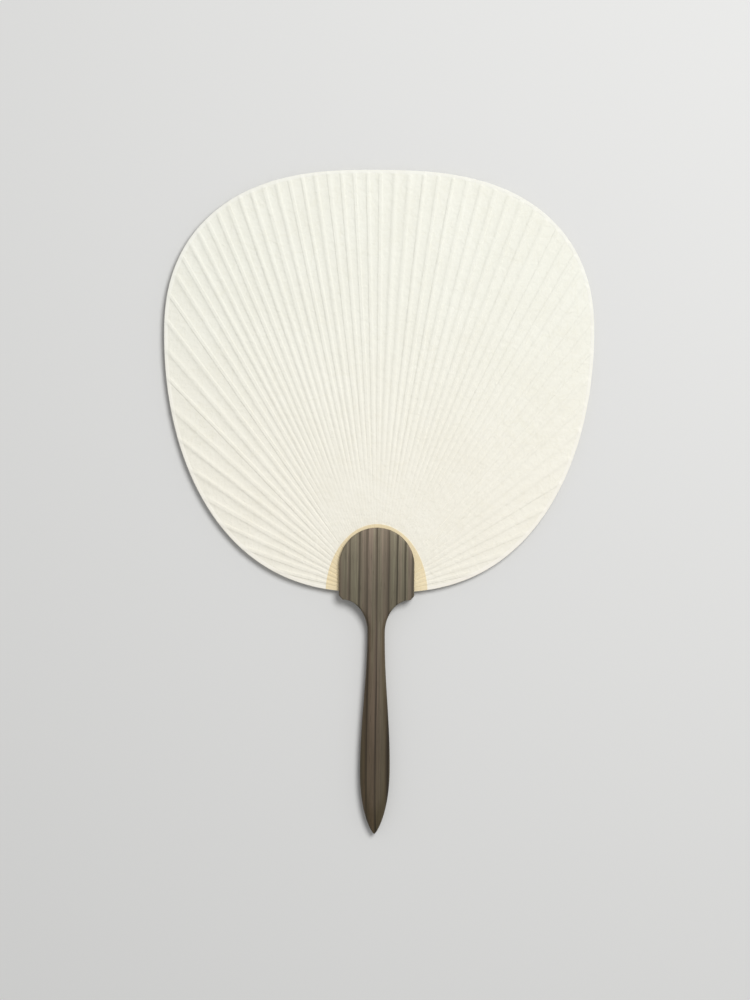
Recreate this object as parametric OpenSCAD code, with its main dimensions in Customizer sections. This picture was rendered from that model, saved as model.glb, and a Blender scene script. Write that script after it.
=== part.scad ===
// Round paper fan: bamboo ribs between two sheets of paper, set in the slot of a wooden handle.
// The fan lies flat on its back. +Y runs from the handle to the top of the leaf, +Z is the front face,
// and the origin lies on the back of the handle's head, under the point where the ribs would meet.

/* [Leaf] */
// Width of the leaf across its widest line
leaf_w = 240; // [210:1:270]
// Height of the leaf from its lower rim to its top
leaf_h = 236; // [215:1:265]
// Height of the widest line above the lower rim
wide_h = 145.6; // [130:0.1:160]
// Height of the lower rim above the point where the ribs would meet
rim_h = 1.4; // [0.8:0.1:2.5]
// Power of the width in the upper half's outline: 2 is an ellipse, more is squarer
top_x_power = 2.65; // [2:0.05:3.2]
// Power of the height in the upper half's outline
top_y_power = 2.25; // [2:0.05:3.2]
// Power of the width in the lower half's outline
low_x_power = 2.55; // [2:0.05:3.2]
// Power of the height in the lower half's outline
low_y_power = 2.05; // [2:0.05:3.2]

/* [Paper] */
// Thickness of the front and back sheets
paper_t = 0.2; // [0.1:0.05:0.3]
// Thickness of the root covers
cover_t = 0.25; // [0.1:0.05:0.4]
// Width of the root covers along the lower rim
cover_w = 57; // [52:0.5:66]
// Height of the root covers above the point where the ribs would meet
cover_h = 39.6; // [39:0.2:50]
// Width of the rim binding on each face
bind_w = 1.8; // [1.5:0.1:4]
// Thickness of the rim binding
bind_t = 0.15; // [0.1:0.05:0.25]
// Length of binding tucked into the slot at each side of the head
bind_tuck = 2; // [1:0.5:5]

/* [Ribs] */
// Thickness of a rib
rib_t = 0.8; // [0.5:0.1:1.2]
// Full width of a rib
rib_w = 1.3; // [1:0.1:1.6]
// Distance of the ribs' inner ends from the point where they would meet
rib_start = 15; // [13:0.5:18]
// Least length of a rib's outer stretch, over which its width no longer changes
rib_run = 1; // [0.5:0.1:3]
// Gap between neighbouring ribs where they lie side by side at the root
rib_clear = 0.1; // [0.05:0.01:0.15]
// Gap between a rib and the paper folded over its sides and ends
rib_gap = 0.05; // [0.02:0.01:0.1]
// Gap between the end of a ridge in the paper and the rim binding
rim_gap = 0.2; // [0.1:0.1:1.5]
// Least width of the valley between two ridges in the paper
valley_w = 0.2; // [0.1:0.05:0.4]
// Angle from rib to rib in the left half's even part, in degrees
left_pitch = 1.78; // [1.6:0.01:1.9]
// Number of ribs in the left half's even part
left_even = 16; // [14:1:18]
// Angle from rib to rib in the right half's even part, in degrees
right_pitch = 1.98; // [1.6:0.01:2]
// Number of ribs in the right half's even part
right_even = 17; // [15:1:21]

/* [Handle] */
// Thickness of the handle
handle_t = 8; // [7:0.1:10]
// Width of the head
head_w = 42; // [36:0.5:48]
// Height of the head's round top above the point where the ribs would meet
head_h = 37.7; // [36:0.1:39]
// Rounding of the head's edges
edge_r = 1; // [0.4:0.1:1.5]
// Drop of the head's lower corners below the point where the ribs would meet
corner_h = 0.4; // [0.4:0.1:2]
// Width of the bevel under each lower corner
bevel_w = 2; // [1:0.1:3]
// Height of the bevel under each lower corner
bevel_h = 2.2; // [1:0.1:4]
// Width of the neck
neck_w = 9.8; // [8:0.1:12]
// Distance of the neck below the point where the ribs would meet
neck_y = 21; // [16:0.5:30]
// Greatest width of the grip
grip_w = 16.8; // [13:0.1:22]
// Distance of the grip's widest line below the point where the ribs would meet
belly_y = 97; // [80:1:110]
// Distance of the handle's pointed end below the point where the ribs would meet
end_y = 133.5; // [120:0.5:150]
// Clearance of the glued leaf in the slot, both faces together
slot_fit = 0.1; // [0.04:0.02:0.2]
// Gap between the leaf's lower rim and the floor of the slot
seat_gap = 0.2; // [0.1:0.05:0.4]

/* [Hidden] */
side_ribs = 29;
function pair_name(k) = str("rib_pair_", k < 10 ? "0" : "", k);

outline_points = 144;
cover_points = 72;
bisections = 24;
eps = 0.01;

mid_z = handle_t / 2;
wide_y = rim_h + wide_h;
rib_top = rib_t / 2;
ridge_top = rib_top + paper_t;
slot_h = 2 * (ridge_top + cover_t) + slot_fit;
slot_floor = rim_h - seat_gap;
arch_y = head_h - head_w / 2;

// Least pitch in radians, the distance at which a rib reaches its full width, and the distance from
// which each rib has a ridge of its own in the paper
least_pitch = min(left_pitch, right_pitch) * PI / 180;
full_r = (rib_w + rib_clear) / least_pitch;
fold = rib_gap + paper_t;
root_r = (rib_w + 2 * fold + valley_w) / least_pitch;

// The leaf's outline: a rounded square whose two halves meet at the widest line
function signed_power(v, p) = sign(v) * pow(abs(v), p);
function x_power(up) = up ? top_x_power : low_x_power;
function y_power(up) = up ? top_y_power : low_y_power;
function half_w(inset) = leaf_w / 2 - inset;
function half_h(up, inset) = (up ? leaf_h - wide_h : wide_h) - inset;
function outline_point(a, inset) = [
    half_w(inset) * signed_power(cos(a), 2 / x_power(sin(a) > 0)),
    wide_y + half_h(sin(a) > 0, inset) * signed_power(sin(a), 2 / y_power(sin(a) > 0))
];
function outline(inset) = [for (i = [0 : outline_points - 1]) outline_point(360 * i / outline_points, inset)];
function low_rim(x, inset) =
    wide_y - half_h(false, inset) * pow(1 - pow(x / half_w(inset), low_x_power), 1 / low_y_power);

// Distance from the ribs' meeting point to the outline, by halving the stretch that crosses it
function outside(x, y, inset) =
    pow(abs(x) / half_w(inset), x_power(y > wide_y))
    + pow(abs(y - wide_y) / half_h(y > wide_y, inset), y_power(y > wide_y)) > 1;
function halve(a, inset, near, far, steps) =
    let (r = (near + far) / 2)
    steps == 0 ? near
    : outside(r * sin(a), r * cos(a), inset) ? halve(a, inset, near, r, steps - 1)
    : halve(a, inset, r, far, steps - 1);
function reach(a, inset) = halve(a, inset, wide_y * cos(a), leaf_w + leaf_h, bisections);
function rib_end(a) = reach(a, bind_w + rim_gap + fold + rib_w / 2);

// Angles of the ribs, counted from straight up to the left. Each half is even near the middle and
// then opens out, and its last rib just clears the binding where that enters the slot.
function rib_width(r) = min(rib_w, r * least_pitch - rib_clear);
bind_end = [head_w / 2 - bind_tuck, low_rim(head_w / 2 - bind_tuck, bind_w + rim_gap)];
last_angle = atan2(bind_end.x, bind_end.y)
    - asin((rib_width(norm(bind_end)) / 2 + fold) / norm(bind_end));
function rib_angle(k, pitch, even) =
    k * pitch + (last_angle - side_ribs * pitch) * pow(max(0, k - even) / (side_ribs - even), 2);
function left_angle(k) = rib_angle(k, left_pitch, left_even);
function right_angle(k) = -rib_angle(k, right_pitch, right_even);
rib_angles = concat(
    [for (k = [side_ribs : -1 : 1]) right_angle(k)],
    [0],
    [for (k = [1 : side_ribs]) left_angle(k)]
);

// Plan of one rib, grown by a gap: it widens until it has its full width and stops inside the rim
function half_plan(end, grow) = [
    [rib_width(rib_start) / 2 + grow, rib_start - grow],
    [rib_width(min(full_r, end - rib_run)) / 2 + grow, min(full_r, end - rib_run)],
    [rib_width(end) / 2 + grow, end + grow]
];
function flip(points) = [for (i = [len(points) - 1 : -1 : 0]) [-points[i].x, points[i].y]];
module rib_plan(a, grow = 0) {
    side = half_plan(rib_end(a), grow);
    rotate(a)
        polygon(concat(side, flip(side)));
}

// Plan of the root, where the ribs lie too close together for ridges of their own. Its corners lie
// on the ribs' centre lines, inside the ribs' own plans.
function turned(p, a) = [p.x * cos(a) - p.y * sin(a), p.x * sin(a) + p.y * cos(a)];
function root_plan(grow) = concat(
    [turned([0, rib_start], -last_angle)],
    [for (a = rib_angles) turned([0, min(root_r, rib_end(a) - fold) + grow], a)],
    [turned([0, rib_start], last_angle)]
);

// Plan of everything that lifts the paper off the leaf's middle plane
module raised_plan(grow) {
    polygon(root_plan(grow));
    for (a = rib_angles)
        rib_plan(a, grow);
}

// One sheet of paper lying on the middle plane, pressed down between the ribs
module sheet() {
    difference() {
        union() {
            linear_extrude(paper_t)
                polygon(outline(0));
            linear_extrude(ridge_top)
                raised_plan(fold);
        }
        translate([0, 0, -eps])
            linear_extrude(rib_top + eps)
                raised_plan(rib_gap);
    }
}

// One root cover lying on a sheet, cut off along the leaf's lower rim
module root_cover() {
    translate([0, 0, ridge_top])
        linear_extrude(cover_t)
            intersection() {
                polygon([for (i = [0 : cover_points - 1])
                    let (a = 360 * i / cover_points)
                    [cover_w / 2 * cos(a), cover_h * sin(a)]]);
                polygon(outline(0));
            }
}

module on_front() {
    translate([0, 0, mid_z])
        children();
}

module on_back() {
    on_front()
        mirror([0, 0, 1])
            children();
}

module rib(a) {
    translate([0, 0, mid_z - rib_top])
        linear_extrude(rib_t)
            rib_plan(a);
}

// The handle's section changes along its length. A ring is [y, half width, half thickness, roundness],
// and its roundness goes from the head's rounded box at 0 to the grip's oval at 1.
corner_steps = 5;
shoulder_steps = 10;
grip_steps = 12;
end_steps = 9;
oval_power = 2.4;
end_x_powers = [2.2, 0.75];
end_z_powers = [3, 0.6];
shoulder_w = head_w / 2 - bevel_w - neck_w / 2;
shoulder_h = neck_y - corner_h - bevel_h;

function smooth(t) = t * t * (3 - 2 * t);
function swell(t) = (1 - cos(180 * t)) / 2;
function taper(t, powers) = pow(1 - pow(t, powers[0]), powers[1]);
function shoulder_ring(a) = [
    -neck_y + shoulder_h * cos(a),
    neck_w / 2 + shoulder_w * (1 - sin(a)),
    handle_t / 2,
    smooth(1 - cos(a))
];
function grip_ring(t) = [
    -neck_y - t * (belly_y - neck_y),
    neck_w / 2 + (grip_w - neck_w) / 2 * swell(t),
    handle_t / 2,
    1
];
function end_ring(t) = [
    -belly_y - t * (end_y - belly_y),
    grip_w / 2 * taper(t, end_x_powers),
    handle_t / 2 * taper(t, end_z_powers),
    1
];
head_ring = [-corner_h, head_w / 2, handle_t / 2, 0];
rings = concat(
    [head_ring],
    [for (i = [0 : shoulder_steps]) shoulder_ring(90 * i / shoulder_steps)],
    [for (i = [1 : grip_steps]) grip_ring(i / grip_steps)],
    [for (i = [1 : end_steps]) end_ring(sin(90 * i / (end_steps + 1)))]
);

// A quarter of a ring about the handle's middle plane: points of the box blended into the oval's
function quarter_point(ring, j) =
    let (
        a = 90 * j / corner_steps,
        b = 90 * (j + 0.5) / (corner_steps + 1),
        boxed = [ring[1] - edge_r * (1 - cos(a)), ring[2] - edge_r * (1 - sin(a))],
        oval = [ring[1] * pow(cos(b), 2 / oval_power), ring[2] * pow(sin(b), 2 / oval_power)]
    )
    boxed + ring[3] * (oval - boxed);
function quarter(ring) = [for (j = [0 : corner_steps]) quarter_point(ring, j)];
function section(ring) =
    let (upper = concat(quarter(ring), flip(quarter(ring))))
    concat(upper, -upper);

// The head: half a disc on top of a block, both with the head's section
module head() {
    half_t = [0, handle_t / 2];
    translate([0, arch_y, mid_z]) {
        rotate_extrude(angle = 180, $fn = 96)
            polygon(concat([-half_t], -flip(quarter(head_ring)), quarter(head_ring), [half_t]));
        rotate([90, 0, 0])
            linear_extrude(arch_y + corner_h)
                polygon(section(head_ring));
    }
}

module grip() {
    n = 4 * (corner_steps + 1);
    last = (len(rings) - 1) * n;
    apex = last + n;
    points = concat(
        [for (ring = rings, p = section(ring)) [p.x, ring[0], mid_z + p.y]],
        [[0, -end_y, mid_z]]
    );
    walls = [for (i = [0 : n : last - n], j = [0 : n - 1])
        let (k = (j + 1) % n)
        each [[i + j, i + n + j, i + n + k], [i + j, i + n + k, i + k]]];
    point = [for (j = [0 : n - 1]) [last + j, apex, last + (j + 1) % n]];
    polyhedron(points, concat([[for (j = [0 : n - 1]) j]], walls, point));
}

module handle() {
    color([0.46, 0.42, 0.36])
        difference() {
            union() {
                head();
                grip();
            }
            translate([-head_w, slot_floor, mid_z - slot_h / 2])
                cube([2 * head_w, head_h, slot_h]);
        }
}

module front_paper() {
    color([0.96, 0.95, 0.91])
        on_front()
            sheet();
}

module back_paper() {
    color([0.96, 0.95, 0.91])
        on_back()
            sheet();
}

module front_root_cover() {
    color([0.92, 0.82, 0.62])
        on_front()
            root_cover();
}

module back_root_cover() {
    color([0.92, 0.82, 0.62])
        on_back()
            root_cover();
}

// A strip of paper folded over the rim, from one side of the head round to the other
module edge_binding() {
    flange_top = paper_t + bind_t;
    color([0.98, 0.97, 0.93])
        difference() {
            translate([0, 0, mid_z - flange_top])
                linear_extrude(2 * flange_top)
                    polygon(outline(-bind_t));
            translate([0, 0, mid_z - flange_top - eps])
                linear_extrude(2 * (flange_top + eps))
                    polygon(outline(bind_w));
            translate([0, 0, mid_z - paper_t])
                linear_extrude(2 * paper_t)
                    polygon(outline(0));
            translate([bind_tuck - head_w / 2, -head_w, 0])
                cube([head_w - 2 * bind_tuck, head_w + arch_y, handle_t]);
        }
}

module rib_centre() {
    color([0.87, 0.76, 0.54])
        rib(0);
}

// The k-th rib to the left of the centre and the k-th to the right of it
module rib_pair(k) {
    color([0.87, 0.76, 0.54]) {
        rib(left_angle(k));
        rib(right_angle(k));
    }
}

handle();
front_paper();
back_paper();
edge_binding();
front_root_cover();
back_root_cover();
rib_centre();
for (k = [1 : side_ribs])
    rib_pair(k);
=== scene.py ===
import bmesh
import bpy
import numpy as np
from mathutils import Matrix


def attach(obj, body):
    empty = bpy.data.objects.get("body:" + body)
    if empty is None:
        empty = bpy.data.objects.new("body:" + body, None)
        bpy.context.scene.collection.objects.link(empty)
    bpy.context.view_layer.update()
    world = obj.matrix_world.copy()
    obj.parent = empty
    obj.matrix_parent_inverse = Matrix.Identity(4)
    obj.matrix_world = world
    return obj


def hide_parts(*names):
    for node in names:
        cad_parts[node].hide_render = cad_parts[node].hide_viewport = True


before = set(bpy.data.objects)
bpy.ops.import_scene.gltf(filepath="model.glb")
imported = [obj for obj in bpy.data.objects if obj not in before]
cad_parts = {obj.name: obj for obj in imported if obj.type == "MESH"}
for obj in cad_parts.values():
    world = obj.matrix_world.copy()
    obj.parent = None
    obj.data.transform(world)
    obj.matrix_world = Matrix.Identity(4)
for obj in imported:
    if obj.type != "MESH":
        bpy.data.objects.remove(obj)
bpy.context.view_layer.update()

# Looks of the round paper fan. Shapes are worked out in millimetres in the fan's own frame, with +Y
# from the handle to the top of the leaf, and are turned into metres when a mesh is made.
MM = 0.001

# Leaf. The sheets' inner faces keep a gap to the middle plane, and the fine grooves of the root give way
# beyond the root's radius.
MID_Z = 4.0
HALF_W = 120.0
WIDE_Y = 147.0
TOP_H, LOW_H = 90.4, 145.6
TOP_X_POWER, TOP_Y_POWER = 2.65, 2.25
LOW_X_POWER, LOW_Y_POWER = 2.55, 2.05
PAPER_T = 0.2
INNER_GAP = 0.005
GROOVE_DEPTH = 0.04
UNEVEN_DEPTH = 0.05
ROOT_R = 50.0

# Ribs
SIDE_RIBS = 29
RIB_TOP = 0.4
RIB_W = 1.3
RIB_START = 15.0
RIB_CLEAR = 0.1
RIB_GAP = 0.05
LEFT_PITCH, LEFT_EVEN = np.radians(1.78), 16
RIGHT_PITCH, RIGHT_EVEN = np.radians(1.98), 17
FOLD = RIB_GAP + PAPER_T

# Rim binding and root covers
BIND_W = 1.8
BIND_T = 0.15
BIND_GAP = 0.01
BIND_END_X = 19.0
RIM_GAP = 0.2
COVER_HALF_W = 28.5
COVER_H = 39.6
COVER_T = 0.2
COVER_GAP = 0.004

# Handle
HEAD_HALF_W = 21.0
ARCH_Y = 16.7
SLOT_FLOOR = 1.2
SLOT_HALF = 0.9
HALF_T = 4.0
EDGE_R = 1.0
CORNER_H = 0.4
NECK_HALF_W = 4.9
NECK_Y = 21.0
SHOULDER_W, SHOULDER_H = 14.1, 18.4
GRIP_HALF_W = 8.4
OVAL_POWER = 2.4
BELLY_Y = 97.0
END_Y = 133.5

# Radii outside the leaf on every ray from the ribs' meeting point: below it and above it
BELOW, BEYOND = 0.05, 300.0

chance = np.random.default_rng(29)


def smooth(t):
    """The curve 3t^2 - 2t^3, held at 0 before 0 and at 1 after 1."""
    t = np.clip(t, 0.0, 1.0)
    return t * t * (3.0 - 2.0 * t)


# The leaf's outline

def outward(x, y, inset=0.0):
    """A measure that is 1 on the outline and less inside it: the share of the half width, to one power,
    plus the share of the half height above or below the widest line, to another power."""
    top = y > WIDE_Y
    wide = np.abs(x) / (HALF_W - inset)
    high = np.abs(y - WIDE_Y) / (np.where(top, TOP_H, LOW_H) - inset)
    return (wide ** np.where(top, TOP_X_POWER, LOW_X_POWER)
            + high ** np.where(top, TOP_Y_POWER, LOW_Y_POWER))


def outline(turn, inset):
    """Points of the outline, where turn runs round from +X: each coordinate is the half size times the
    turn's cosine or sine, taken to 2 over the power."""
    top = np.sin(turn) > 0
    c, s = np.cos(turn), np.sin(turn)
    x = (HALF_W - inset) * np.sign(c) * np.abs(c) ** (2 / np.where(top, TOP_X_POWER, LOW_X_POWER))
    y = (np.where(top, TOP_H, LOW_H) - inset) * np.sign(s) * np.abs(s) ** (
        2 / np.where(top, TOP_Y_POWER, LOW_Y_POWER))
    return x, WIDE_Y + y


def low_rim(x, inset=0.0):
    """Height of the leaf's lower rim at a distance from its middle."""
    return WIDE_Y - (LOW_H - inset) * (1 - (x / (HALF_W - inset)) ** LOW_X_POWER) ** (1 / LOW_Y_POWER)


def rim_distance(x, y):
    """Distance inside the rim, to first order: what the outward measure lacks to 1, over its slope."""
    top = y > WIDE_Y
    px = np.where(top, TOP_X_POWER, LOW_X_POWER)
    py = np.where(top, TOP_Y_POWER, LOW_Y_POWER)
    high = np.where(top, TOP_H, LOW_H)
    slope_x = px / HALF_W * (np.abs(x) / HALF_W) ** (px - 1)
    slope_y = py / high * (np.abs(y - WIDE_Y) / high) ** (py - 1)
    return (1 - outward(x, y)) / np.hypot(slope_x, slope_y)


def crossing(place, inside, outside, inset=0.0):
    """Radius at which each line crosses the outline, by halving the stretch from inside to outside."""
    near, far = inside, outside
    for _ in range(40):
        middle = (near + far) / 2
        out = outward(*place(middle), inset) > 1
        near, far = np.where(out, near, middle), np.where(out, middle, far)
    return near


# The ribs, and the columns of points that follow them

def rib_angles():
    """Angles of the ribs from straight up, counted to the left, from the last one on the right to the
    last on the left. Each half is even near the middle and then opens out with the square."""
    end = np.array([BIND_END_X, low_rim(BIND_END_X, BIND_W + RIM_GAP)])
    far = np.hypot(*end)
    last = np.arctan2(end[0], end[1]) - np.arcsin((rib_half_width(far) + FOLD) / far)
    k = np.arange(SIDE_RIBS + 1)

    def half(pitch, even):
        """Angles of one half: even steps, and past the even ribs a square law that ends at the last."""
        opened = np.maximum(0, k - even) / (SIDE_RIBS - even)
        return k * pitch + (last - SIDE_RIBS * pitch) * opened ** 2

    return np.concatenate([-half(RIGHT_PITCH, RIGHT_EVEN)[::-1], half(LEFT_PITCH, LEFT_EVEN)[1:]])


def rib_half_width(r):
    """Half a rib's width: it grows with the distance from the root until it is full."""
    return np.clip((r * LEFT_PITCH - RIB_CLEAR) / 2, 0.02, RIB_W / 2)


def on_ray(angle):
    """A function that gives the points of rays from the ribs' meeting point."""
    return lambda r: (-r * np.sin(angle), r * np.cos(angle))


def touching_ray():
    """Angle and length of the ray that just touches the lower rim, outside the last ribs. Seen from the
    meeting point the whole leaf lies between that ray and its mirror image."""
    x = np.linspace(5.0, 60.0, 20001)
    y = low_rim(x)
    touch = np.argmin(y / x)
    return np.arctan2(x[touch], y[touch]), np.hypot(x[touch], y[touch])


RIBS = rib_angles()
LAST = RIBS[-1]
END_INSET = BIND_W + RIM_GAP + FOLD + RIB_W / 2
TOUCH, TOUCH_R = touching_ray()
RIB_END = crossing(on_ray(RIBS), TOUCH_R, BEYOND, END_INSET)
RIB_RIM = crossing(on_ray(RIBS), TOUCH_R, BEYOND)

# Offsets of the columns beside a rib, in millimetres, and how the rest of the gap is shared out
BESIDE = np.array([0.3, 0.55, 0.7, 0.84, 0.98, 1.14, 1.34])
ACROSS = np.array([0.33, 0.67])
BORDER = np.array([0.12, 0.25, 0.38, 0.5, 0.61, 0.71, 0.8, 0.87, 0.93, 0.97, 1.0])


class Columns:
    """Lines of points from the root to the rim. Each belongs to a rib and lies at an offset to one side
    of it. The offset is fixed where the gap to the next rib is wide, and shrinks with it near the root."""

    def __init__(self):
        rib, side, near, far = [], [], [], []
        count = len(RIBS)

        def put(k, s, n, f):
            rib.extend([k] * len(n))
            side.extend([s] * len(n))
            near.extend(n)
            far.extend(f)

        for k in range(count):
            outer = BORDER if k == 0 else ACROSS
            n = np.concatenate([BESIDE, np.full(len(outer), BESIDE[-1])])
            f = np.concatenate([np.zeros(len(BESIDE)), outer])
            put(k, -1, n[::-1], f[::-1])
            put(k, 1, [0.0], [0.0])
            outer = BORDER if k == count - 1 else np.append(ACROSS, 1.0)
            n = np.concatenate([BESIDE, np.full(len(outer), BESIDE[-1])])
            f = np.concatenate([np.zeros(len(BESIDE)), outer])
            put(k, 1, n, f)
        self.rib, self.side = np.array(rib), np.array(side)
        self.near, self.far = np.array(near), np.array(far)
        other = self.rib + self.side
        self.border = (other < 0) | (other >= count)
        gap = np.abs(RIBS[np.clip(other, 0, count - 1)] - RIBS[self.rib]) / 2
        self.gap = np.where(self.border, TOUCH - LAST, gap)
        self.r_in = crossing(self.place, TOUCH_R, BELOW)
        self.r_out = crossing(self.place, TOUCH_R, BEYOND)
        touching = self.border & (self.far == 1.0)
        self.r_in[touching] = self.r_out[touching] = TOUCH_R

    def offset(self, r):
        """Distance from the rib's centre line, along the arc."""
        squeeze = np.minimum(1.0, r * self.gap / (1.12 * BESIDE[-1]))
        return self.near * squeeze + self.far * (r * self.gap - BESIDE[-1] * squeeze)

    def place(self, r):
        """The columns' points at their radii."""
        angle = RIBS[self.rib] + self.side * self.offset(r) / r
        return -r * np.sin(angle), r * np.cos(angle)


COLUMNS = Columns()

# How each rib's ridge shows in the paper, by hand-work: the width of its two flanks and how that
# comes and goes along the rib, its crown, and the shares of the way from the rib's end to the rim at
# which it begins to fade and over which it does
FLANK = chance.uniform(0.4, 1.2, (len(RIBS), 2))
FLANK_WAVE = chance.uniform(14.0, 34.0, (len(RIBS), 2))
FLANK_PHASE = chance.uniform(0.0, 2 * np.pi, (len(RIBS), 2))
CROWN = chance.uniform(0.0, 0.14, len(RIBS))
CROWN_HALF_W = 0.9
FADE_START = chance.uniform(0.1, 0.45, len(RIBS))
FADE_SPAN = chance.uniform(0.35, 0.5, len(RIBS))
TAIL = 2.8
TAIL_SHARE = 0.3


def one_ridge(rib, side, distance, r):
    """Height share of the paper beside one rib: it falls from the rib's edge over the flank, keeps a
    gentle tail, and fades past the rib's outer end."""
    edge = distance - rib_half_width(r) - RIB_GAP
    swing = np.sin(2 * np.pi * r / FLANK_WAVE[rib, side] + FLANK_PHASE[rib, side])
    flank = FLANK[rib, side] * (1 + 0.25 * swing)
    fall = (1 - TAIL_SHARE) * smooth(edge / flank) + TAIL_SHARE * smooth(edge / TAIL)
    past = (r - RIB_END[rib] - RIB_GAP) / (RIB_RIM[rib] - RIB_END[rib])
    return (1 - fall) * (1 - smooth((past - FADE_START[rib]) / FADE_SPAN[rib]))


def wander(x, y):
    """A slow unevenness from 0 to 1: six sine waves of 25 to 80 mm in different directions."""
    total = 0.0
    for i in range(6):
        turn, length = 2.4 * i, 25.0 + 11.0 * i
        total = total + np.sin(2 * np.pi * (x * np.cos(turn) + y * np.sin(turn)) / length + 1.7 * i)
    return np.clip(0.5 + total / 8, 0, 1)


def sheet_heights(x, y):
    """Heights of a sheet's inner and outer faces above the leaf's middle plane. The share lifted by the
    ribs is 1 on a rib and 0 in a wide valley, and what each of the two nearest ribs leaves free is
    multiplied. The outer face is a sheet's thickness higher, with fine grooves near the root, and away
    from it with a slow unevenness and a crown along each rib."""
    r, angle = np.hypot(x, y), np.arctan2(-x, y)
    right = np.clip(np.searchsorted(RIBS, angle) - 1, 0, len(RIBS) - 2)
    free, crown, distances = 1.0, 0.0, []
    for rib in (right, right + 1):
        side = (angle > RIBS[rib]).astype(int)
        distance = r * np.abs(angle - RIBS[rib])
        free = free * (1 - one_ridge(rib, side, distance, r))
        crown = crown + CROWN[rib] * (1 - smooth(distance / CROWN_HALF_W))
        distances.append(distance)
    lift = (1 - free) * smooth((r - RIB_START + 4) / 3)
    away = smooth((r - ROOT_R) / 30)
    middle = 2 * np.minimum(*distances) / (distances[0] + distances[1])
    middle = np.where(np.abs(angle) > LAST, 0.0, middle)
    groove = (GROOVE_DEPTH * smooth((middle - 0.35) / 0.65) * smooth(r / 30)
              * (1 - smooth((r - ROOT_R) / 25)))
    inner = INNER_GAP + RIB_TOP * lift + crown * away
    return inner, inner + PAPER_T - INNER_GAP - groove + UNEVEN_DEPTH * wander(x, y) * away


def rows_to(stop, count):
    """Radii of a grid's rows in the body of the leaf, evenly from the lower rim out to a radius."""
    return COLUMNS.r_in + (stop - COLUMNS.r_in) * np.linspace(0, 1, count)[:, None]


def leaf_rows(body, tip):
    """Radii of the rows: even out to the ribs' ends, then close together across the last millimetres
    to the rim. Beyond the last ribs the last stretch narrows with the leaf."""
    c = COLUMNS
    end = crossing(c.place, TOUCH_R, BEYOND, END_INSET)
    length = c.r_out - c.r_in
    at_last = np.flatnonzero(c.near == 0)[[0, -1]]
    share = ((c.r_out - end) / length)[at_last].mean()
    end = np.where(c.border, c.r_out - share * length, end)
    first = rows_to(end, body)
    last = end + (c.r_out - end) * np.linspace(0, 1, tip + 1)[1:, None]
    return np.concatenate([first, last])


# Meshes. Points closer than the weld distance, in millimetres, become one.
WELD = 0.0005


def grid_faces(rows, columns, start):
    """Corners of the quads of a grid whose points are counted row by row from start."""
    r, c = np.meshgrid(np.arange(rows - 1), np.arange(columns - 1), indexing="ij")
    first = start + r * columns + c
    return np.stack([first, first + 1, first + columns + 1, first + columns], -1).reshape(-1, 4)


def make_piece(name, patches, extra_faces=(), smooth_angle=40.0):
    """One mesh object from patches of points in millimetres, each a grid of rows by columns by three.
    Points that meet are welded, collapsed faces go, and all faces are turned outwards."""
    points, faces, start = [], [], 0
    for grid in patches:
        rows, columns = grid.shape[:2]
        points.append(grid.reshape(-1, 3))
        faces.append(grid_faces(rows, columns, start))
        start += rows * columns
    mesh = bpy.data.meshes.new(name)
    corners = [list(f) for f in np.concatenate(faces).tolist()] + [list(f) for f in extra_faces]
    mesh.from_pydata((np.concatenate(points) * MM).tolist(), [], corners)
    work = bmesh.new()
    work.from_mesh(mesh)
    bmesh.ops.remove_doubles(work, verts=work.verts, dist=WELD * MM)
    bmesh.ops.dissolve_degenerate(work, edges=work.edges, dist=WELD * MM)
    bmesh.ops.recalc_face_normals(work, faces=work.faces)
    work.to_mesh(mesh)
    work.free()
    mesh.polygons.foreach_set("use_smooth", np.ones(len(mesh.polygons), bool))
    mesh.set_sharp_from_angle(angle=np.radians(smooth_angle))
    mesh.update()
    piece = bpy.data.objects.new(name, mesh)
    bpy.context.scene.collection.objects.link(piece)
    return piece


def stack(x, y, z):
    """Points from three arrays of coordinates."""
    return np.stack(np.broadcast_arrays(x, y, z), -1)


def thin_shell(name, rows_out, out_z, rows_in, in_z):
    """A closed sheet on the leaf's columns: an outer and an inner face, joined round their edges. Both
    faces start at the same first row and end at the same last row."""
    outer = stack(*COLUMNS.place(rows_out), out_z)
    inner = stack(*COLUMNS.place(rows_in), in_z)
    foot = np.stack([inner[0], outer[0]])
    rim = np.stack([outer[-1], inner[-1]])
    return make_piece(name, [outer, inner[::-1], foot, rim])


def leaf_sheet(name, side):
    """A sheet of paper on the front (side 1) or the back (side -1) of the ribs."""
    fine = leaf_rows(46, 9)
    coarse = leaf_rows(16, 5)
    outer = sheet_heights(*COLUMNS.place(fine))[1]
    inner = sheet_heights(*COLUMNS.place(coarse))[0]
    return thin_shell(name, fine, MID_Z + side * outer, coarse, MID_Z + side * inner)


def root_cover(name, side):
    """A tan cover: an ellipse about the meeting point, cut off by the lower rim. It lies on the sheet
    and on the binding, and takes the ribs' fine grooves over."""
    c = COLUMNS
    angle = np.arctan2(*c.place(TOUCH_R))
    reach = 1 / np.hypot(np.sin(angle) / COVER_HALF_W, np.cos(angle) / COVER_H)
    rows = rows_to(np.minimum(reach, c.r_out), 18)
    x, y = c.place(rows)
    band = smooth((BIND_W + 0.6 - rim_distance(x, y)) / 0.5)
    under = sheet_heights(x, y)[1] + band * (BIND_T + BIND_GAP) + COVER_GAP
    return thin_shell(name, rows, MID_Z + side * (under + COVER_T), rows, MID_Z + side * under)


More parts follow.
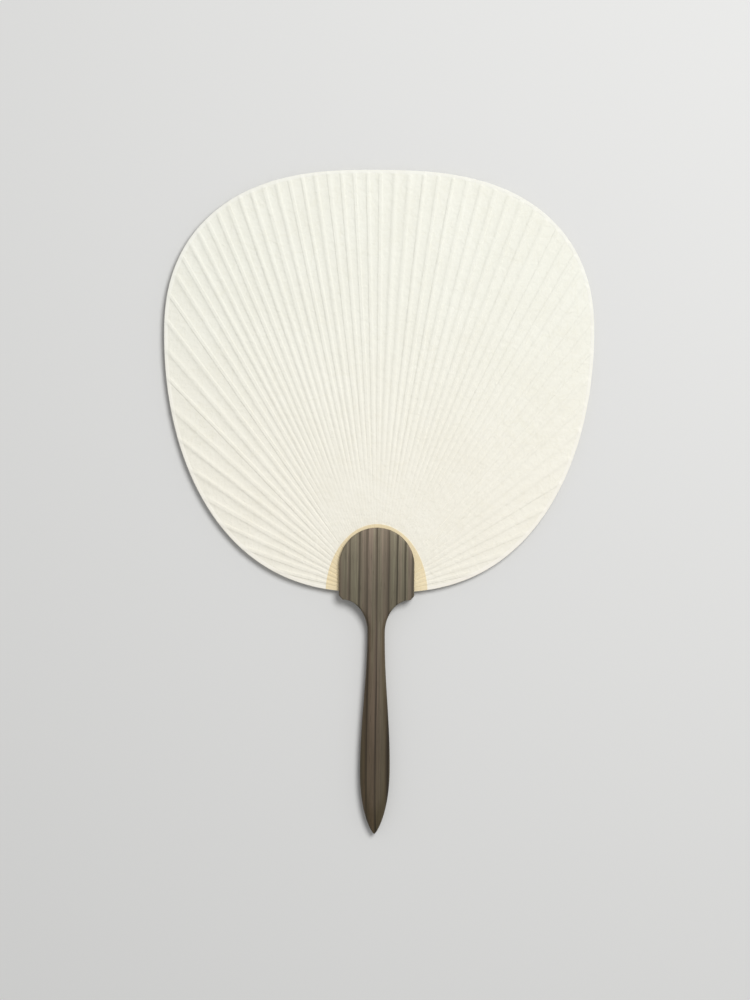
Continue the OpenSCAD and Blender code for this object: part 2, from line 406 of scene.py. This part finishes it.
def rim_binding(name):
    """A folded strip: its section, a thin U with a round fold, is carried along the rim from one side
    of the head round to the other. Each point's inset from the rim is fixed, and its height is counted
    from the sheet under it, so that the strip rises with each ridge that runs under it."""
    half = np.array([[-0.005, BIND_GAP], [BIND_W, BIND_GAP], [BIND_W, 0.03], [BIND_W - 0.45, BIND_T],
                     [0.9, BIND_T], [0.5, BIND_T], [0.14, BIND_T], [0.02, BIND_T - 0.01],
                     [-0.07, BIND_T - 0.05], [-0.125, 0.0], [-BIND_T, -0.12]])
    first = -np.arccos((BIND_END_X / HALF_W) ** (LOW_X_POWER / 2))
    turn = np.linspace(first, np.pi - first, 4001)
    x, y = outline(turn, 0.0)
    length = np.concatenate([[0], np.cumsum(np.hypot(np.diff(x), np.diff(y)))])
    steps = 1400
    turn = np.interp(np.linspace(0, length[-1], steps + 1), length, turn)[:, None]
    height = sheet_heights(*outline(turn, np.maximum(half[:, 0], 0.02)))[1] + half[:, 1]
    x, y = outline(turn, half[:, 0])
    front, back = stack(x, y, MID_Z + height), stack(x, y, MID_Z - height)
    section = np.concatenate([front, back[:, ::-1], front[:, :1]], axis=1)
    loop = 2 * len(half)
    ends = [list(range(loop))[::-1], [steps * (loop + 1) + i for i in range(loop)]]
    return make_piece(name, [section], ends)


# The handle

def handle_quarter(half_w, half_t, roundness):
    """A quarter of the handle's section from its side to the middle of its face: a box with rounded
    edges, blended by roundness into an oval that starts 7.5 degrees above the middle plane."""
    turn = np.linspace(0, np.pi / 2, 9)
    side = np.linspace(SLOT_HALF, HALF_T - EDGE_R, 4)[:-1]
    face = np.linspace(1, 0, 7)[1:]
    boxed_x = np.concatenate([0 * side + half_w, half_w - EDGE_R * (1 - np.cos(turn)),
                              (half_w - EDGE_R) * face])
    boxed_z = np.concatenate([side, half_t - EDGE_R * (1 - np.sin(turn)), 0 * face + half_t])
    b = np.radians(np.linspace(7.5, 90, len(boxed_x)))
    oval_x = half_w * np.abs(np.cos(b)) ** (2 / OVAL_POWER)
    oval_z = half_t * np.sin(b) ** (2 / OVAL_POWER)
    x = boxed_x + roundness * (oval_x - boxed_x)
    x[-1] = 0.0
    return x, boxed_z + roundness * (oval_z - boxed_z)


def handle_rings():
    """Rings down the handle as (y, half width, half thickness, roundness): the head's foot, a bevel, a
    quarter ellipse to the neck, a cosine swell to the belly, and a taper to the pointed end, where the
    half width falls as (1 - t^2.2)^0.75 and the half thickness as (1 - t^3)^0.6."""
    head = [(y, HEAD_HALF_W, HALF_T, 0.0) for y in (SLOT_FLOOR, 0.2, -CORNER_H)]
    drop, draw = NECK_Y - SHOULDER_H - CORNER_H, HEAD_HALF_W - NECK_HALF_W - SHOULDER_W
    bevel = [(-CORNER_H - s * drop, HEAD_HALF_W - s * draw, HALF_T, 0.0) for s in (0.33, 0.67)]
    a = np.radians(np.linspace(0, 90, 33))
    shoulder = np.stack([-NECK_Y + SHOULDER_H * np.cos(a), NECK_HALF_W + SHOULDER_W * (1 - np.sin(a)),
                         HALF_T + 0 * a, smooth(1 - np.cos(a))], -1)
    t = np.linspace(0, 1, 41)[1:]
    grip = np.stack([-NECK_Y - t * (BELLY_Y - NECK_Y),
                     NECK_HALF_W + (GRIP_HALF_W - NECK_HALF_W) * (1 - np.cos(np.pi * t)) / 2,
                     HALF_T + 0 * t, 1 + 0 * t], -1)
    t = np.sin(np.radians(90 * np.arange(1, 32) / 32))
    end = np.stack([-BELLY_Y - t * (END_Y - BELLY_Y), GRIP_HALF_W * (1 - t ** 2.2) ** 0.75,
                    HALF_T * (1 - t ** 3) ** 0.6, 1 + 0 * t], -1)
    return np.concatenate([np.array(head + bevel), shoulder, grip, end])


def full_ring(y, half_w, half_t, roundness):
    """A whole section: right and left quarters of the front, then left and right of the back."""
    x, z = handle_quarter(half_w, half_t, roundness)
    x = np.concatenate([x, -x[-2::-1], -x, x[-2::-1], x[:1]])
    z = np.concatenate([z, z[-2::-1], -z, -z[-2::-1], z[:1]])
    return stack(x, y, MID_Z + z)


def wooden_handle(name):
    """The handle as one closed shell. Below the slot's floor it is a loft of rings. Above it each cheek
    is the head's edge profile carried up one side, round the arch and down the other."""
    rings = handle_rings()
    loft = np.stack([full_ring(*ring) for ring in rings])
    point = np.broadcast_to([0.0, -END_Y, MID_Z], loft[-1].shape)
    x, z = handle_quarter(HEAD_HALF_W, HALF_T, 0.0)
    out, up = np.concatenate([[0.0], x]), np.concatenate([[SLOT_HALF], z])
    sides = np.linspace(SLOT_FLOOR, ARCH_Y, 6)[:-1]
    arch = np.linspace(0, np.pi, 73)
    centre_y = np.concatenate([sides, 0 * arch + ARCH_Y, sides[::-1]])[:, None]
    turn = np.concatenate([0 * sides, arch, 0 * sides + np.pi])[:, None]
    cheek_x, cheek_y = out * np.cos(turn), centre_y + out * np.sin(turn)
    cheeks = [stack(cheek_x, cheek_y, MID_Z + s * up[None, :]) for s in (1, -1)]
    wide = np.array([-HEAD_HALF_W, 0.0, HEAD_HALF_W])
    floor = np.stack([stack(wide, SLOT_FLOOR, MID_Z + s * SLOT_HALF) for s in (1, -1)])
    piece = make_piece(name, [loft, np.stack([loft[-1], point]), cheeks[0], cheeks[1][::-1], floor],
                       smooth_angle=30.0)
    bevel = piece.modifiers.new("eased edges", "BEVEL")
    bevel.width = 0.2 * MM
    bevel.segments = 2
    bevel.limit_method = "ANGLE"
    bevel.angle_limit = np.radians(30)
    return piece


# Materials

def add(tree, kind, inputs=None, **settings):
    """A new node with its settings, and its inputs linked or filled by name or number."""
    made = tree.nodes.new("ShaderNode" + kind)
    for key, value in settings.items():
        setattr(made, key, value)
    for key, value in (inputs or {}).items():
        if isinstance(value, bpy.types.NodeSocket):
            tree.links.new(value, made.inputs[key])
        else:
            made.inputs[key].default_value = value
    return made


def reckon(tree, operation, a, b=0.0):
    """The result of a sum of one or two values."""
    return add(tree, "Math", {0: a, 1: b}, operation=operation).outputs[0]


def remap(tree, value, low, high, to_low=0.0, to_high=1.0):
    """A smooth step from one range to another."""
    return add(tree, "MapRange", {"Value": value, "From Min": low, "From Max": high, "To Min": to_low,
                                  "To Max": to_high}, interpolation_type="SMOOTHSTEP").outputs[0]


def remap_straight(tree, value, low, high):
    """A straight line from 0 at low to 1 at high, held outside them."""
    return add(tree, "MapRange", {"Value": value, "From Min": low, "From Max": high}).outputs[0]


def blend_colour(tree, share, first, second, way="MIX"):
    """The first colour with a share of the second one mixed in or multiplied."""
    return add(tree, "Mix", {0: share, 6: first, 7: second}, data_type="RGBA", blend_type=way).outputs[2]


def noise(tree, vector, scale, detail=2.0, distortion=0.0):
    """Soft noise from 0 to 1."""
    return add(tree, "TexNoise", {"Vector": vector, "Scale": scale, "Detail": detail,
                                  "Distortion": distortion}).outputs[0]


def new_group(name, inputs, outputs):
    """An empty node group with named inputs and outputs, and its two end nodes."""
    group = bpy.data.node_groups.new(name, "ShaderNodeTree")
    for label, kind in inputs.items():
        group.interface.new_socket(label, in_out="INPUT", socket_type=kind)
    for label in outputs:
        group.interface.new_socket(label, in_out="OUTPUT", socket_type="NodeSocketFloat")
    return group, group.nodes.new("NodeGroupInput"), group.nodes.new("NodeGroupOutput")


def paper_fibre_group():
    """Handmade paper: long curved strands, short flecks in three directions, slow clouding, a fine tooth
    and the shallow cockles of damp paper that has dried on its ribs. A strand is a thin band about one
    level of a distorted noise."""
    group, start, end = new_group(
        "paper fibres",
        {"Vector": "NodeSocketVector", "Strand width": "NodeSocketFloat", "Fineness": "NodeSocketFloat",
         "Cockle": "NodeSocketFloat"},
        ["Strands", "Clouds", "Height"])
    vector = start.outputs["Vector"]
    strands = None
    for i, scale in enumerate((48.0, 71.0, 95.0)):
        moved = add(group, "Mapping", {"Vector": vector, "Location": (0.31 * i, 0.17 * i, 0.0)}).outputs[0]
        level = noise(group, moved, scale, 3.0, 0.9)
        off = reckon(group, "ABSOLUTE", reckon(group, "SUBTRACT", level, 0.5))
        band = reckon(group, "SUBTRACT", 1.0, reckon(group, "DIVIDE", off, start.outputs["Strand width"]))
        band = reckon(group, "MAXIMUM", band, 0.0)
        strands = band if strands is None else reckon(group, "MAXIMUM", strands, band)
    for i in range(3):
        turned = add(group, "Mapping", {"Vector": vector, "Rotation": (0.0, 0.0, 0.5 + 1.05 * i),
                                        "Scale": (1.0, 0.07, 1.0)}).outputs[0]
        fleck = remap(group, noise(group, turned, 900.0 + 130.0 * i, 1.0), 0.66, 0.8)
        strands = reckon(group, "MAXIMUM", strands, fleck)
    clouds = noise(group, vector, 38.0, 4.0, 0.3)
    tooth = noise(group, vector, start.outputs["Fineness"], 3.0)
    height = reckon(group, "ADD", reckon(group, "MULTIPLY", strands, 0.55), tooth)
    cockle = reckon(group, "MULTIPLY", noise(group, vector, 300.0, 2.0, 0.4), start.outputs["Cockle"])
    height = reckon(group, "ADD", height, cockle)
    for label, value in zip(("Strands", "Clouds", "Height"), (strands, clouds, height)):
        group.links.new(value, end.inputs[label])
    return group


def straight_grain_group():
    """Straight grain along Y: fine fibres and short dark pores, from noise stretched along the grain."""
    group, start, end = new_group(
        "straight grain",
        {"Vector": "NodeSocketVector", "Across": "NodeSocketFloat", "Stretch": "NodeSocketFloat"},
        ["Fibres", "Pores", "Height"])
    split = add(group, "SeparateXYZ", {0: start.outputs["Vector"]}).outputs
    across, stretch = start.outputs["Across"], start.outputs["Stretch"]
    along = reckon(group, "DIVIDE", across, stretch)
    scaled = add(group, "CombineXYZ", {0: reckon(group, "MULTIPLY", split[0], across),
                                       1: reckon(group, "MULTIPLY", split[1], along),
                                       2: reckon(group, "MULTIPLY", split[2], across)}).outputs[0]
    fibres = noise(group, scaled, 1.0, 4.0, 0.1)
    pores = remap(group, noise(group, scaled, 2.6, 1.0), 0.64, 0.74)
    height = reckon(group, "SUBTRACT", fibres, reckon(group, "MULTIPLY", pores, 0.6))
    for label, value in zip(("Fibres", "Pores", "Height"), (fibres, pores, height)):
        group.links.new(value, end.inputs[label])
    return group


PAPER_FIBRES = paper_fibre_group()
STRAIGHT_GRAIN = straight_grain_group()


def place_group(tree, group, inputs):
    """A group's outputs, with the group placed in a material with its own values."""
    return add(tree, "Group", inputs, node_tree=group).outputs


def new_material(name, specular):
    """A material with its tree, its shader and the place on the object."""
    material = bpy.data.materials.new(name)
    material.use_nodes = True
    tree = material.node_tree
    shader = tree.nodes["Principled BSDF"]
    shader.inputs["Specular IOR Level"].default_value = specular
    where = add(tree, "TexCoord").outputs["Object"]
    return material, tree, shader, where


def finish_material(tree, shader, colour, roughness, height, depth):
    """Links colour and roughness, and a bump whose full height is depth millimetres."""
    bump = add(tree, "Bump", {"Strength": 1.0, "Distance": depth * MM, "Height": height}).outputs[0]
    tree.links.new(colour, shader.inputs["Base Color"])
    tree.links.new(roughness, shader.inputs["Roughness"])
    tree.links.new(bump, shader.inputs["Normal"])


def paper(name, base, shade, strand, strand_share, depth, cockle, root=(1.0, 1.0, 1.0)):
    """Paper of one make: base colour with slow clouds of a second one and strands of a third. Towards
    the ribs' root its colour is multiplied by a tint, which is the warmth of paste and age."""
    material, tree, shader, where = new_material(name, 0.25)
    fibres = place_group(tree, PAPER_FIBRES, {"Vector": where, "Strand width": 0.012, "Fineness": 1700.0,
                                              "Cockle": cockle})
    clouds = remap(tree, fibres["Clouds"], 0.3, 0.7)
    colour = blend_colour(tree, clouds, (*base, 1), (*shade, 1))
    share = reckon(tree, "MULTIPLY", fibres["Strands"], strand_share)
    colour = blend_colour(tree, share, colour, (*strand, 1))
    height = add(tree, "SeparateXYZ", {0: where}).outputs[1]
    colour = blend_colour(tree, remap(tree, height, 0.02, 0.2, 1.0, 0.0), colour, (*root, 1), "MULTIPLY")
    roughness = remap(tree, fibres["Clouds"], 0.3, 0.7, 0.74, 0.88)
    finish_material(tree, shader, colour, roughness, fibres["Height"], depth)
    return material


# Dark growth lines across the handle: distance from its axis, width of the slow and of the sharp side
# in millimetres, and depth
GROWTH_LINES = [(-15.0, 1.8, 0.7, 0.75), (-9.6, 1.6, 0.5, 1.0), (-5.0, 1.7, 0.6, 0.85),
                (0.3, 1.6, 0.5, 0.95), (7.1, 2.0, 0.5, 1.0), (11.6, 1.4, 0.5, 0.95),
                (16.1, 1.6, 0.6, 0.95), (20.0, 1.2, 0.5, 0.65)]


def growth_ramp(tree, x):
    """A mask over the handle's width that grows slowly up to each growth line and clears again fast
    past it."""
    width = 48.0
    ramp = add(tree, "ValToRGB", {0: reckon(tree, "ADD", reckon(tree, "DIVIDE", x, width * MM), 0.5)})
    ramp.color_ramp.interpolation = "EASE"
    stops = ramp.color_ramp.elements
    stops[0].position, stops[1].position = 0.0, 1.0
    stops[0].color = stops[1].color = (0, 0, 0, 1)
    for middle, slow, sharp, depth in GROWTH_LINES:
        for distance, level in ((middle - slow, 0.0), (middle, depth), (middle + sharp, 0.0)):
            stops.new(distance / width + 0.5).color = (level, level, level, 1)
    return ramp.outputs[0]


def dark_wood():
    """Straight-grained dark wood: growth lines that run true down the handle and lean a little through
    it, fine fibres, pores, and bands that are redder or greener. A painted highlight makes it palest at
    the top of the head, painted shade with a little wear from handling makes it darkest down the grip,
    and painted shade darkens it along its sides."""
    material, tree, shader, where = new_material("dark straight-grained wood", 0.22)
    grain = place_group(tree, STRAIGHT_GRAIN, {"Vector": where, "Across": 1300.0, "Stretch": 30.0})
    split = add(tree, "SeparateXYZ", {0: where}).outputs

    def streaks(across, along, low, high, to_low, to_high):
        """Noise drawn out along the handle, from one range to another."""
        scale = add(tree, "Mapping", {"Vector": where, "Scale": (across, along, 90.0)}).outputs[0]
        return remap(tree, noise(tree, scale, 1.0, 3.0), low, high, to_low, to_high)

    lean = reckon(tree, "MULTIPLY", reckon(tree, "SUBTRACT", split[2], 2 * HALF_T * MM), 0.3)
    waver = streaks(60.0, 9.0, 0.0, 1.0, -0.0007, 0.0007)
    lines = growth_ramp(tree, reckon(tree, "ADD", split[0], reckon(tree, "ADD", lean, waver)))
    lines = reckon(tree, "MULTIPLY", lines, streaks(170.0, 14.0, 0.3, 0.65, 0.68, 1.0))
    greener = streaks(210.0, 5.0, 0.38, 0.62, 0.0, 1.0)
    colour = blend_colour(tree, greener, (0.3, 0.232, 0.178, 1), (0.282, 0.256, 0.177, 1))
    darker = streaks(420.0, 9.0, 0.4, 0.66, 0.0, 0.55)
    colour = blend_colour(tree, darker, colour, (0.155, 0.127, 0.09, 1))
    hairlines = streaks(1300.0, 11.0, 0.52, 0.68, 0.0, 0.42)
    colour = blend_colour(tree, hairlines, colour, (0.105, 0.085, 0.06, 1))
    fibres = remap(tree, grain["Fibres"], 0.35, 0.65, 0.0, 0.45)
    colour = blend_colour(tree, fibres, colour, (0.165, 0.133, 0.096, 1))
    colour = blend_colour(tree, lines, colour, (0.05, 0.038, 0.023, 1))
    pores = reckon(tree, "MULTIPLY", grain["Pores"], 0.5)
    colour = blend_colour(tree, pores, colour, (0.06, 0.047, 0.033, 1))
    # Painted light: a painted highlight pales the top of the head, and painted shade, with a little wear
    # from handling, darkens the grip.
    wear_and_painted_light = add(tree, "ValToRGB", {0: remap_straight(tree, split[1], 0.035, -0.12)})
    stops = wear_and_painted_light.color_ramp.elements
    stops[0].color, stops[1].color = (1.1, 1.1, 1.09, 1), (0.43, 0.4, 0.335, 1)
    wear_and_painted_light_stops = ((0.1, (0.8, 0.8, 0.78, 1)), (0.22, (0.63, 0.63, 0.6, 1)), (0.4, (0.595, 0.565, 0.535, 1)),
            (0.8, (0.4, 0.37, 0.315, 1)))
    for place, shade in wear_and_painted_light_stops:
        stops.new(place).color = shade
    colour = blend_colour(tree, 1.0, colour, wear_and_painted_light.outputs[0], "MULTIPLY")
    # Painted shade: the handle's sides, away from both faces, are darkened.
    height = reckon(tree, "ABSOLUTE", reckon(tree, "SUBTRACT", split[2], MID_Z * MM))
    side = remap(tree, height, 0.003, 0.0038, 1.0, 0.0)
    colour = blend_colour(tree, side, colour, (0.76, 0.73, 0.64, 1), "MULTIPLY")
    roughness = remap(tree, grain["Height"], 0.2, 0.7, 0.62, 0.48)
    finish_material(tree, shader, colour, roughness, grain["Height"], 0.03)
    return material


def bamboo():
    """Split bamboo: pale straw colour with fine straight fibres."""
    material, tree, shader, where = new_material("split bamboo", 0.3)
    grain = place_group(tree, STRAIGHT_GRAIN, {"Vector": where, "Across": 2600.0, "Stretch": 60.0})
    fibres = remap(tree, grain["Fibres"], 0.3, 0.7)
    colour = blend_colour(tree, fibres, (0.72, 0.56, 0.3, 1), (0.58, 0.42, 0.2, 1))
    roughness = remap(tree, grain["Fibres"], 0.3, 0.7, 0.5, 0.65)
    finish_material(tree, shader, colour, roughness, grain["Height"], 0.02)
    return material


def plain_floor():
    """A pale floor. Far from the fan, where the lamp doesn't reach, the camera sees it as pale too."""
    material = bpy.data.materials.new("floor")
    material.use_nodes = True
    tree = material.node_tree
    shader = tree.nodes["Principled BSDF"]
    shader.inputs["Base Color"].default_value = (0.77, 0.77, 0.76, 1)
    shader.inputs["Roughness"].default_value = 0.9
    shader.inputs["Specular IOR Level"].default_value = 0.1
    where = add(tree, "TexCoord").outputs["Object"]
    away = add(tree, "VectorMath", {0: where}, operation="LENGTH").outputs["Value"]
    seen = add(tree, "LightPath").outputs["Is Camera Ray"]
    share = reckon(tree, "MULTIPLY", remap(tree, away, 0.41, 0.75), seen)
    pale = add(tree, "Emission", {"Color": (0.765, 0.765, 0.76, 1)})
    both = add(tree, "MixShader", {0: share, 1: shader.outputs[0], 2: pale.outputs[0]})
    tree.links.new(both.outputs[0], tree.nodes["Material Output"].inputs["Surface"])
    return material


WARM = (1.033, 1.002, 0.983)
WASHI = paper("warm white handmade paper", (0.914, 0.91, 0.82), (0.9, 0.894, 0.8), (0.855, 0.84, 0.72),
              strand_share=0.35, depth=0.03, cockle=14.0, root=WARM)
RIM_PAPER = paper("rim paper", (0.938, 0.934, 0.86), (0.926, 0.918, 0.838), (0.885, 0.862, 0.762),
                  strand_share=0.3, depth=0.02, cockle=4.0, root=WARM)
TAN_PAPER = paper("tan paper", (0.914, 0.792, 0.54), (0.884, 0.746, 0.485), (0.8, 0.665, 0.41),
                  strand_share=0.35, depth=0.03, cockle=4.0)
DARK_WOOD = dark_wood()
BAMBOO = bamboo()


def dress(piece, material, slot, *nodes):
    """Gives a piece its material, puts it on the fan's body and lets it stand for its nodes. The slot is
    not used.
    """
    piece.data.materials.append(material)
    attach(piece, "root")
    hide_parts(*nodes)


dress(leaf_sheet("washi_front", 1), WASHI, "washi", "front_paper")
dress(leaf_sheet("washi_back", -1), WASHI, "washi", "back_paper")
dress(rim_binding("rim_strip"), RIM_PAPER, "rim_paper", "edge_binding")
dress(root_cover("tan_cover_front", 1), TAN_PAPER, "tan_paper", "front_root_cover")
dress(root_cover("tan_cover_back", -1), TAN_PAPER, "tan_paper", "back_root_cover")
dress(wooden_handle("wooden_handle"), DARK_WOOD, "dark_wood", "handle")
for rib_name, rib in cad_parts.items():
    if rib_name.startswith("rib_"):
        rib.data.materials.clear()
        rib.data.materials.append(BAMBOO)


# Floor, light and camera

def add_floor():
    """A wide floor, a hair below the handle's back so that the two don't share a plane."""
    mesh = bpy.data.meshes.new("floor")
    far, z = 4.0, -0.00005
    mesh.from_pydata([(-far, -far, z), (far, -far, z), (far, far, z), (-far, far, z)], [], [(0, 1, 2, 3)])
    floor = bpy.data.objects.new("floor", mesh)
    bpy.context.scene.collection.objects.link(floor)
    mesh.materials.append(plain_floor())


def add_light():
    """A soft lamp high on the upper right, and an even sky that is dimmer as a light than as a sight."""
    turn, height, distance, aim_y = np.radians(45), np.radians(61), 1.7, 0.1
    lamp = bpy.data.lights.new("key", "AREA")
    lamp.shape = "DISK"
    lamp.size = 0.85
    lamp.energy = 19.6
    key = bpy.data.objects.new("key", lamp)
    bpy.context.scene.collection.objects.link(key)
    away = distance * np.cos(height)
    key.location = (away * np.cos(turn), aim_y + away * np.sin(turn), distance * np.sin(height))
    key.rotation_euler = (0.0, np.pi / 2 - height, turn)
    world = bpy.data.worlds.new("sky")
    world.use_nodes = True
    sky = world.node_tree.nodes["Background"]
    sky.inputs["Color"].default_value = (1, 1, 1, 1)
    path = add(world.node_tree, "LightPath").outputs
    seen = reckon(world.node_tree, "MAXIMUM", path["Is Camera Ray"], path["Is Glossy Ray"])
    strength = remap(world.node_tree, seen, 0.0, 1.0, 0.38, 0.77)
    world.node_tree.links.new(strength, sky.inputs["Strength"])
    bpy.context.scene.world = world


def add_camera():
    """A long lens straight above the fan. The photograph's frame is 559 mm high at the leaf, its middle
    lies 53 mm above the ribs' meeting point, and the fan leans 0.57 degrees to the right in it."""
    frame_h, distance = 0.5587, 2.2
    lens = bpy.data.cameras.new("camera")
    lens.sensor_fit = "VERTICAL"
    lens.sensor_height = 36.0
    lens.lens = 36.0 * distance / frame_h
    lens.clip_end = 20.0
    camera = bpy.data.objects.new("camera", lens)
    bpy.context.scene.collection.objects.link(camera)
    camera.location = (-0.00137, 0.05309, MID_Z * MM + distance)
    camera.rotation_euler = (0.0, 0.0, np.radians(0.57))
    bpy.context.scene.camera = camera


add_floor()
add_light()
add_camera()
bpy.context.scene.view_settings.view_transform = "Standard"
